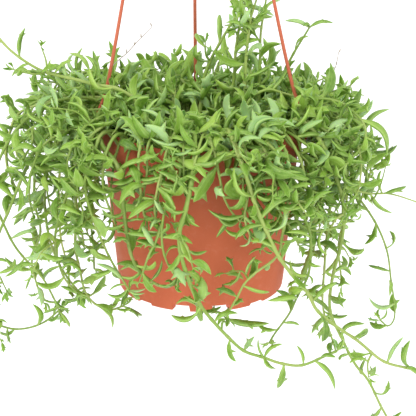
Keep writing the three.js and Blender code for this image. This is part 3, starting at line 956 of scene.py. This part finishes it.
def place_leaf(geometry, at, tangent, outward, size, radius, near_tip, arching, rng):
    """Sets one leaf on a stem, turned away from the pot where it would run into it."""
    arches = rng.uniform() < arching
    for attempt in range(5):
        forward = rng.uniform(-0.3, 0.9) + 0.6 * near_tip
        lean = outward + tangent * forward + UP * rng.uniform(-0.1, 0.6)
        if arches:
            lean = lean + 0.4 * UP
        direction = unit(lean + rng.normal(0, 0.2, 3))
        middle, tip = at + direction * size * 0.5, at + direction * size
        in_gap = before_gap(middle) or before_gap(tip)
        if clear_of_pot(middle) and clear_of_pot(tip) and not in_gap:
            break
        from_axis = unit(np.array([at[0], at[1], 0.0]) + 1e-9)
        outward = unit(outward + from_axis * (0.7 + 0.4 * attempt) + UP * 0.2)
    if in_gap:
        return
    upward = -rng.uniform(0.6, 1.2) if arches else rng.uniform(0.5, 1.2)
    bend_to = UP * upward + tangent * rng.uniform(-0.5, 0.7) + rng.normal(0, 0.4, 3)
    start = at + direction * radius * 0.5 + FOOT_POINT
    add_leaf(geometry, start, direction, bend_to, size, rng)


# The long strands, from root over the rim to tip: x, y and height, in millimetres.
TRAILING_STRANDS = {
    "strand_upper_left": [(-30, -20, 110), (-44, -28, 146), (-60, -31, 162), (-78, -31, 166),
        (-99, -29, 172), (-121, -28, 179), (-140, -27, 194), (-156, -26, 212)],
    "strand_left_arch": [(-45, 0, 110), (-75, -5, 144), (-105, -15, 148), (-125, -20, 140),
        (-141, -25, 120), (-149, -30, 95), (-149, -30, 75), (-142, -32, 50), (-131, -33, 32),
        (-116, -35, 14), (-108, -36, 0), (-103, -36, -14)],
    "strand_left_loop": [(-50, -16, 110), (-80, -26, 140), (-112, -36, 125), (-135, -42, 90),
        (-150, -45, 50), (-158, -45, 15), (-154, -42, -12), (-143, -40, -21), (-131, -38, -22),
        (-117, -36, -17), (-104, -34, -8)],
    "strand_left_inner": [(-48, -30, 110), (-72, -42, 136), (-87, -49, 112), (-90, -51, 80),
        (-90, -51, 42), (-87, -49, 16), (-79, -47, 0), (-68, -46, -5), (-57, -46, -1)],
    "strand_left_middle": [(-54, -18, 110), (-84, -29, 140), (-105, -32, 120), (-113, -33, 90),
        (-113, -33, 60), (-109, -33, 38), (-100, -33, 18), (-90, -33, 4)],
    "strand_left_front": [(-40, -38, 110), (-64, -52, 138), (-84, -62, 120), (-98, -66, 90),
        (-104, -68, 60), (-100, -68, 34), (-88, -66, 14)],
    "strand_left_back": [(-55, 14, 110), (-88, 22, 140), (-112, 28, 122), (-122, 30, 92),
        (-126, 30, 60), (-122, 30, 28), (-128, 30, 0), (-120, 30, -30)],
    "strand_front_left": [(-56, -24, 110), (-72, -34, 144), (-74, -48, 138), (-69, -63, 129),
        (-59, -76, 121), (-56, -84, 107), (-56, -87, 90), (-53, -87, 64), (-45, -86, 45),
        (-36, -85, 34), (-26, -85, 29), (-17, -85, 31)],
    "strand_front_short": [(-28, -40, 110), (-20, -64, 137), (-14, -85, 130), (-17, -92, 112),
        (-24, -94, 97), (-28, -95, 77), (-26, -95, 60), (-20, -94, 45), (-10, -92, 38)],
    "strand_front_long": [(-8, -44, 110), (-4, -66, 140), (-4, -82, 137), (-6, -90, 123),
        (-8, -95, 112), (-11, -99, 99), (-15, -102, 80), (-13, -103, 60), (-7, -103, 40),
        (-1, -103, 25), (6, -102, 14), (18, -102, 0), (30, -101, -12), (45, -101, -18),
        (59, -100, -24), (76, -99, -26), (99, -98, -15)],
    "strand_front_right": [(8, -46, 110), (18, -66, 140), (26, -82, 134), (33, -93, 116),
        (39, -99, 100), (46, -103, 82), (56, -104, 61), (66, -103, 45), (77, -102, 32),
        (85, -100, 16), (108, -98, -2), (133, -97, -23), (158, -96, -32), (173, -96, -36)],
    "strand_front_curl": [(30, -42, 110), (44, -68, 137), (57, -86, 120), (61, -92, 92),
        (58, -94, 66), (52, -94, 55), (41, -94, 46), (30, -93, 34), (24, -92, 22), (18, -92, 8)],
    "strand_front_sweep": [(42, -38, 110), (56, -62, 132), (66, -80, 110), (68, -84, 84),
        (80, -82, 73), (94, -78, 73), (108, -74, 78)],
    "strand_right_thick": [(50, -14, 110), (68, -22, 142), (85, -28, 128), (89, -31, 95),
        (85, -32, 70), (80, -32, 37), (75, -31, 14)],
    "strand_right_straight": [(56, 2, 110), (80, 0, 142), (96, -4, 118), (99, -7, 85),
        (95, -9, 57), (92, -11, 20), (91, -11, -16), (99, -12, -44)],
    "strand_right_long": [(46, -26, 110), (70, -40, 142), (92, -48, 120), (102, -52, 80),
        (100, -53, 45), (96, -53, 4), (104, -53, -25), (113, -52, -45), (122, -52, -58),
        (138, -51, -87), (145, -51, -101)],
    "strand_right_low": [(20, -52, 110), (38, -76, 134), (62, -93, 106), (78, -93, 75),
        (77, -92, 45), (68, -90, 20), (59, -88, 2), (50, -86, -14)],
    "strand_far_right": [(62, -6, 110), (86, -13, 142), (99, -20, 124), (104, -26, 106),
        (112, -29, 86), (122, -30, 70), (130, -31, 55), (136, -31, 36), (140, -31, 12),
        (143, -31, -4), (144, -31, -17), (140, -31, -23), (134, -31, -18)],
    "strand_right_tip": [(50, -19, 110), (80, -32, 137), (98, -38, 116), (109, -40, 90),
        (122, -40, 84), (137, -38, 84), (152, -36, 80), (174, -34, 72)],
    "strand_right_arch": [(28, -20, 111), (32, -18, 146), (46, -16, 157), (62, -14, 153),
        (82, -11, 147), (96, -9, 152), (110, -8, 157)],
    "strand_right_back": [(54, 22, 110), (84, 32, 140), (108, 40, 118), (114, 42, 84),
        (110, 42, 48), (104, 42, 12), (108, 42, -22)],
    "shoot_tall_left": [(-2, 20, 111), (0, 20, 140), (6, 20, 165), (18, 20, 188), (30, 20, 208),
        (38, 20, 222)],
    "shoot_tall_middle": [(16, 12, 111), (24, 10, 150), (26, 9, 180), (29, 7, 204), (33, 5, 220)],
    "shoot_tall_right": [(30, -4, 111), (32, -2, 147), (35, 0, 196), (41, 0, 224)],
    "shoot_pale": [(39, 6, 111), (43, 6, 146), (44, 8, 190), (47, 12, 216)],
    "shoot_right": [(46, 22, 111), (59, 22, 145), (68, 21, 168), (79, 20, 193)],
}
# More stretches of stem between the strands above.
MORE_STRANDS = {
    "right_diagonal": [(56, -12, 110), (78, -18, 146), (98, -24, 152), (112, -32, 146),
        (119, -40, 137), (118, -47, 127), (110, -53, 118), (99, -59, 109), (87, -67, 104),
        (76, -75, 100), (61, -85, 91)],
    "front_branch": [(-27, -96, 84), (-32, -96, 72), (-38, -95, 57), (-43, -93, 44), (-46, -91, 36)],
    "left_cluster": [(-46, -36, 110), (-68, -56, 138), (-80, -70, 120), (-84, -77, 102),
        (-76, -78, 79), (-67, -79, 59), (-59, -80, 41), (-52, -80, 24)],
    "front_cluster": [(24, -44, 110), (34, -66, 138), (46, -82, 130), (52, -88, 110), (56, -90, 92),
        (66, -88, 76), (72, -86, 62)],
    "front_middle": [(0, -44, 110), (6, -66, 139), (10, -82, 132), (12, -88, 118), (14, -91, 104),
        (20, -92, 92), (27, -92, 84)],
    "front_middle_right": [(20, -46, 110), (28, -68, 139), (34, -84, 130), (34, -90, 114),
        (32, -93, 98), (30, -94, 86), (34, -94, 74)],
    "front_middle_left": [(-16, -44, 110), (-20, -68, 138), (-24, -84, 128), (-30, -90, 110),
        (-33, -92, 92), (-30, -92, 76)],
    "front_left_short": [(-30, -40, 110), (-38, -62, 138), (-44, -78, 130), (-44, -84, 114),
        (-42, -87, 98), (-40, -88, 84)],
    "left_cluster_short": [(-40, -40, 110), (-58, -60, 139), (-68, -72, 128), (-70, -78, 108),
        (-66, -80, 90), (-60, -82, 72)],
    "right_cluster": [(40, -36, 110), (56, -54, 138), (70, -66, 124), (76, -70, 104), (78, -72, 84),
        (74, -72, 68)],
    "right_bud": [(124, -39, 79), (129, -39, 90), (134, -39, 108)],
    "left_bud": [(-111, -25, 172), (-112, -25, 182), (-115, -25, 192)],
}
TALL_SHOOT = {"arching": 0.75, "leaf_size": 1.05, "density": 1.2, "crowding": -2.0, "tip_leaves": 1}
FULL = {"leaf_size": 1.15, "density": 1.1}
STRAND_STYLES = {
    "strand_upper_left": {"thickness": 1.15, "density": 0.5, "placed_leaves": [
        ((-123, -28, 180), (-134, -28, 172), -1), ((-114, -28, 178), (-123, -28, 166), -1),
        ((-112, -28, 176), (-122, -30, 171), -1), ((-105, -28, 175), (-91, -28, 184), -1)]},
    "strand_front_left": {"thickness": 1.45, "placed_leaves": [
        ((-62, -76, 124), (-85, -88, 126), -1), ((-57, -79, 118), (-36, -92, 128), -1)]},
    "strand_front_short": {"placed_leaves": [((-15, -84, 132), (-36, -94, 126), 1)]},
    "strand_front_long": {"thickness": 1.35, "sparse": 0.5, "placed_leaves": [
        ((-10, -97, 106), (-30, -100, 124), -1),
        ((-1, -102, 23), (-22, -100, 10), 1), ((45, -101, -18), (41, -101, -4), 1),
        ((45, -101, -18), (58, -101, -7), -1), ((83, -99, -26), (97, -99, -43), -1)]},
    "strand_front_right": {"thickness": 1.3, "sparse": 0.6, "placed_leaves": [
        ((38, -98, 104), (21, -104, 127), 1), ((44, -102, 84), (23, -106, 74), -1),
        ((46, -103, 90), (66, -98, 105), -1),
        ((153, -96, -30), (146, -97, -8), 1)]},
    "strand_front_curl": {"placed_leaves": [((18, -92, 8), (49, -93, 9), 1)]},
    "strand_right_thick": {"thickness": 1.6, "taper": 0.15},
    "strand_right_tip": {"thickness": 0.7, "density": 0.7, "sparse": 1.0, "placed_leaves": [
        ((134, -38, 84), (151, -37, 86), -1), ((122, -40, 84), (139, -32, 68), 1)]},
    "strand_far_right": {"thickness": 0.8, "sparse": 1.8, "placed_leaves": [
        ((138, -31, 20), (122, -31, 22), -1), ((143, -31, -5), (123, -31, -3), 1)]},
    "strand_right_long": {"thickness": 1.2, "sparse": 0.8, "placed_leaves": [
        ((98, -53, -4), (82, -60, -17), -1)]},
    "strand_right_arch": {"thickness": 0.8},
    "strand_left_arch": {"sparse": 0.8},
    "strand_left_loop": {"sparse": 0.5, "placed_leaves": [
        ((-106, -34, -9), (-97, -34, -26), -1), ((-143, -40, -21), (-142, -40, -33), 1)]},
    "strand_left_inner": {"density": 1.3, "leaf_size": 1.05, "placed_leaves": [
        ((-75, -46, -4), (-64, -46, -18), -1), ((-84, -48, 6), (-104, -48, 12), -1),
        ((-57, -46, -1), (-44, -46, -12), -1)]},
    "strand_left_middle": {"density": 1.2, "leaf_size": 1.05},
    "shoot_tall_left": TALL_SHOOT,
    "shoot_tall_middle": TALL_SHOOT,
    "shoot_tall_right": TALL_SHOOT,
    "shoot_pale": {**TALL_SHOOT, "density": 1.0},
    "shoot_right": {"arching": 0.9, "density": 0.4, "tip_leaves": 1, "placed_leaves": [
        ((79, 20, 193), (62, 20, 197), -1), ((79, 20, 193), (97, 20, 196), -1)]},
    "right_diagonal": {"thickness": 0.8, "placed_leaves": [((119, -36, 142), (138, -36, 116), -1)]},
    "front_branch": {"thickness": 0.8, "density": 0.7},
    "left_cluster": {"leaf_size": 1.1, "placed_leaves": [
        ((-56, -80, 34), (-75, -82, 46), -1), ((-53, -80, 26), (-68, -84, 22), 1),
        ((-60, -80, 43), (-79, -82, 40), 1)]},
    "front_cluster": {"leaf_size": 1.15, "density": 1.2, "placed_leaves": [
        ((50, -86, 118), (78, -90, 109), -1)]},
    "front_middle": {"leaf_size": 1.2, "density": 1.2},
    "front_middle_right": {"leaf_size": 1.2, "density": 1.2, "placed_leaves": [
        ((31, -94, 90), (6, -100, 96), 1)]},
    "front_middle_left": FULL,
    "front_left_short": FULL,
    "left_cluster_short": FULL,
    "right_cluster": {"leaf_size": 1.15, "density": 1.2},
    "right_bud": {"leafless": True, "thickness": 0.5, "tip_leaves": 7, "tip_size": 0.3},
    "left_bud": {"leafless": True, "thickness": 0.6, "tip_leaves": 7, "tip_size": 0.35},
}
BACK_STRANDS = 12
CROWN_SHOOTS = 14
FILLER_TUFTS = 8
SHOOTS_PER_TUFT = 6
FRINGE_PIECES = 6
SHOOTS_PER_FRINGE = 6
ARM_CLEARANCE = 9
CURTAIN_PIECES = 5
STRANDS_PER_CURTAIN = 4
# The curtain at each side: the azimuth of its middle, its crest's height and its spread.
CURTAINS = {"left": (183, 138, 54), "right": (-4, 130, 38)}
ROOT_HEIGHT = 111  # inside the mix, in millimetres


def chance(seed):
    """A repeatable number from 0 to 1 for each seed, the same as in the CAD source."""
    scattered = math.sin(seed * 127.1 + 11.7) * 43758.5453
    return scattered - math.floor(scattered)


def route(azimuth, *rows):
    """Points of a strand: how far each is turned from the azimuth, its radius and its height."""
    return [polar(azimuth + turn, radius, height) for turn, radius, height in rows]


# The functions below give strands by rule, in millimetres. The numbers beside chance() only
# keep their draws apart.


def back_strand(index):
    """Up out of the mix, just over the rim and down behind the pot."""
    azimuth = math.radians(24 + 132 * index / (BACK_STRANDS - 1))
    reach = 90 + 30 * chance(index + 1)
    drop = 60 + 90 * chance(index + 40)
    sway = 0.25 * (chance(index + 80) - 0.5)
    return route(
        azimuth,
        (0, 40, ROOT_HEIGHT),
        (0, 64, 135),
        (0, 0.94 * reach, 127),
        (0.3 * sway, reach + 4, 127 - 0.3 * drop),
        (0.7 * sway, reach + 4, 127 - 0.7 * drop),
        (sway, reach - 2, 127 - drop),
    )


def crown_shoot(index):
    """A short shoot of the crown; the roots are spread over the mix like sunflower seeds."""
    azimuth = GOLDEN_ANGLE * (index + 0.5)
    root = 58 * math.sqrt((index + 0.5) / CROWN_SHOOTS)
    lean = 14 + 20 * chance(index + 120)
    rise = 16 + 16 * chance(index + 160)
    return route(
        azimuth,
        (0, root, ROOT_HEIGHT),
        (0, root + 0.25 * lean, 112 + 0.5 * rise),
        (0, root + lean, 112 + rise),
    )


def beside_arms(azimuth):
    """The azimuth, moved where a strand would run into the foot of an arm."""
    for arm in ARM_AZIMUTHS.values():
        away = (math.degrees(azimuth) - arm + 180) % 360 - 180
        if abs(away) < ARM_CLEARANCE:
            return math.radians(arm + math.copysign(ARM_CLEARANCE, away))
    return azimuth


def fringe_shoot(number):
    """A shoot that leans out over the rim and hangs a little way down the pot."""
    turn = 360 * number / (FRINGE_PIECES * SHOOTS_PER_FRINGE) + 8 * chance(number + 500)
    azimuth = beside_arms(math.radians(turn))
    in_front = 0.5 - 0.5 * math.sin(azimuth)
    over = 82 + 8 * chance(number + 520)
    drop = 10 + (30 + 34 * in_front) * chance(number + 540)
    drift = 0.3 * (chance(number + 560) - 0.5)
    return route(
        azimuth,
        (0, 46, ROOT_HEIGHT),
        (0, 62, 132 + (4 + 8 * chance(number + 580)) * in_front),
        (0.3 * drift, over - 2, 130 + 5 * in_front),
        (0.7 * drift, over + 5, 124 - 0.5 * drop),
        (drift, over + 2, 124 - drop),
    )


def curtain_strand(number, middle, crest, spread):
    """One of the strands that crowd over the rim at either side and hang beside the pot."""
    number += middle  # so that the two sides differ
    azimuth = beside_arms(math.radians(middle + 76 * (chance(number + 600) - 0.5)))
    reach = 86 + spread * chance(number + 640)
    drop = 12 + 54 * chance(number + 680)
    sway = 0.3 * (chance(number + 720) - 0.5)
    lift = crest + 12 * chance(number + 760)
    return route(
        azimuth,
        (0, 46, ROOT_HEIGHT),
        (0, 70, lift),
        (0, 0.92 * reach, lift - 6),
        (0.3 * sway, reach + 4, lift - 12 - 0.3 * drop),
        (0.7 * sway, reach + 5, lift - 12 - 0.7 * drop),
        (sway, reach, lift - 12 - drop),
    )


def filler_shoot(number):
    """Short young shoots between the others, most of them near the rim, where they lean out."""
    azimuth = GOLDEN_ANGLE * number + 0.9
    share = math.sqrt((number + 0.5) / (FILLER_TUFTS * SHOOTS_PER_TUFT))
    root = 62 * share
    lean = 8 + 30 * share * chance(number + 300)
    rise = 8 + 20 * chance(number + 350)
    return route(
        azimuth,
        (0, root, ROOT_HEIGHT),
        (0.05, root + 0.3 * lean, 114 + 0.6 * rise),
        (0.15 * (chance(number + 400) - 0.5), root + lean, 114 + rise),
    )


def batches(strand_of, pieces, size, *settings):
    """Strands numbered from 0, in as many equal lots as there are pieces."""
    lots = np.arange(pieces * size).reshape(pieces, size).tolist()
    return [[strand_of(number, *settings) for number in lot] for lot in lots]


def plant_pieces():
    """Name, CAD nodes, strands and style of each piece of the plant."""
    for name, points in TRAILING_STRANDS.items():
        yield name + "_leafy", [name], [points], {"shoots": 0.12, **STRAND_STYLES.get(name, {})}
    for index in range(BACK_STRANDS):
        name = f"strand_back_{index + 1}"
        yield name + "_leafy", [name], [back_strand(index)], {"shoots": 0.12, "leaf_size": 0.9}
    for name, points in MORE_STRANDS.items():
        yield "strand_" + name, [], [points], STRAND_STYLES[name]
    for index in range(CROWN_SHOOTS):
        name = f"crown_shoot_{index + 1}"
        yield name + "_leafy", [name], [crown_shoot(index)], {"leaf_size": 1.12}
    for number, shoots in enumerate(batches(filler_shoot, FILLER_TUFTS, SHOOTS_PER_TUFT), 1):
        yield f"crown_tuft_{number}", [], shoots, {"thickness": 0.85, "leaf_size": 1.12}
    for number, shoots in enumerate(batches(fringe_shoot, FRINGE_PIECES, SHOOTS_PER_FRINGE), 1):
        yield f"rim_fringe_{number}", [], shoots, {"thickness": 0.9, "leaf_size": 1.1}
    for side, settings in CURTAINS.items():
        lots = batches(curtain_strand, CURTAIN_PIECES, STRANDS_PER_CURTAIN, *settings)
        for number, strands in enumerate(lots, 1):
            yield f"curtain_{side}_{number}", [], strands, {"thickness": 0.9, "shoots": 0.1}


def make_plant():
    """Each piece draws from a seed of its own, so that one can change without the others."""
    for seed, (name, nodes, strands, style) in enumerate(plant_pieces(), 100):
        geometry = Geometry()
        rng = np.random.default_rng(seed)
        for points in strands:
            add_strand(geometry, np.array(points, float) * MM, rng, **style)
        piece = geometry.piece(name, [STEM, LEAF])
        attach(piece, "root")
        if nodes:
            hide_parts(*nodes)


def make_dry_stalks():
    """Thin dry flower stalks with a few empty buds."""
    stalks = {
        "dry_stalk_left": [(-60, 30, 111), (-70, 30, 150), (-53, 32, 171), (-36, 34, 189)],
        "dry_stalk_right": [(62, 24, 111), (80, 20, 138), (93, 17, 150), (99, 15, 164), (101, 14, 175)],
    }
    for seed, (name, points) in enumerate(stalks.items()):
        rng = np.random.default_rng(700 + seed)
        geometry = Geometry()
        line = spline(np.array(points, float) * MM, 2 * MM) + FOOT_POINT
        add_tube(geometry, line, np.linspace(0.6, 0.25, len(line)) * MM, 6)
        for share in (0.72, 0.8, 0.88, 1.0):
            at = line[int(share * (len(line) - 1))]
            tip = at + unit(rng.normal(size=3) + UP * 2) * 3.5 * MM
            bud = np.linspace(at, tip, 5)
            add_tube(geometry, bud, np.array([0.2, 0.45, 0.5, 0.35, 0.1]) * MM, 6)
        piece = geometry.piece(name + "_buds", [DRY])
        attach(piece, "root")
        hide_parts(name)


make_plant()
make_dry_stalks()


# ---------------------------------------------------------------------------------------
# Stage: a pale floor well below the hanging pot, white surroundings and soft lights

FLOOR_HALF = 60.0
FLOOR_DROP = 4.0  # far enough down that views from below are not hidden by the floor


def make_stage():
    skin = Shader("stage_white")
    clouds = skin.ramp(skin.noise(2), (0.4, (0.93, 0.93, 0.93)), (0.6, (0.95, 0.95, 0.95)))
    skin.plug(clouds, "Base Color")
    skin.set(Roughness=0.9, Emission_Color=(1, 1, 1, 1), Emission_Strength=0.4)
    height = cad_low.z - FLOOR_DROP
    corners = [(-1, -1), (1, -1), (1, 1), (-1, 1)]
    floor = Geometry()
    points = np.array([(x * FLOOR_HALF, y * FLOOR_HALF, height) for x, y in corners])
    floor.add(points, [[[0, 1, 2, 3]]])
    floor.piece("floor", [skin.material], smooth=False)


def add_light(name, offset, size, watts):
    """A soft round lamp, placed from a point in the plant's upper part and aimed at it."""
    data = bpy.data.lights.new(name, "AREA")
    data.shape = "DISK"
    data.size = size
    data.energy = watts
    light = bpy.data.objects.new(name, data)
    target = FOOT + Vector((0, 0, 0.1))
    light.location = target + Vector(offset)
    light.rotation_euler = (-Vector(offset)).to_track_quat("-Z", "Y").to_euler()
    bpy.context.scene.collection.objects.link(light)


def make_lights():
    world = bpy.data.worlds.new("surroundings")
    world.use_nodes = True
    background = world.node_tree.nodes["Background"]
    background.inputs["Color"].default_value = (1, 1, 1, 1)
    background.inputs["Strength"].default_value = 1.0
    bpy.context.scene.world = world
    bpy.context.scene.view_settings.view_transform = "Standard"
    add_light("key", offset=(-0.9, -1.3, 1.5), size=1.0, watts=22)
    add_light("fill", offset=(1.4, -1.2, 0.5), size=1.2, watts=7)


make_stage()
make_lights()
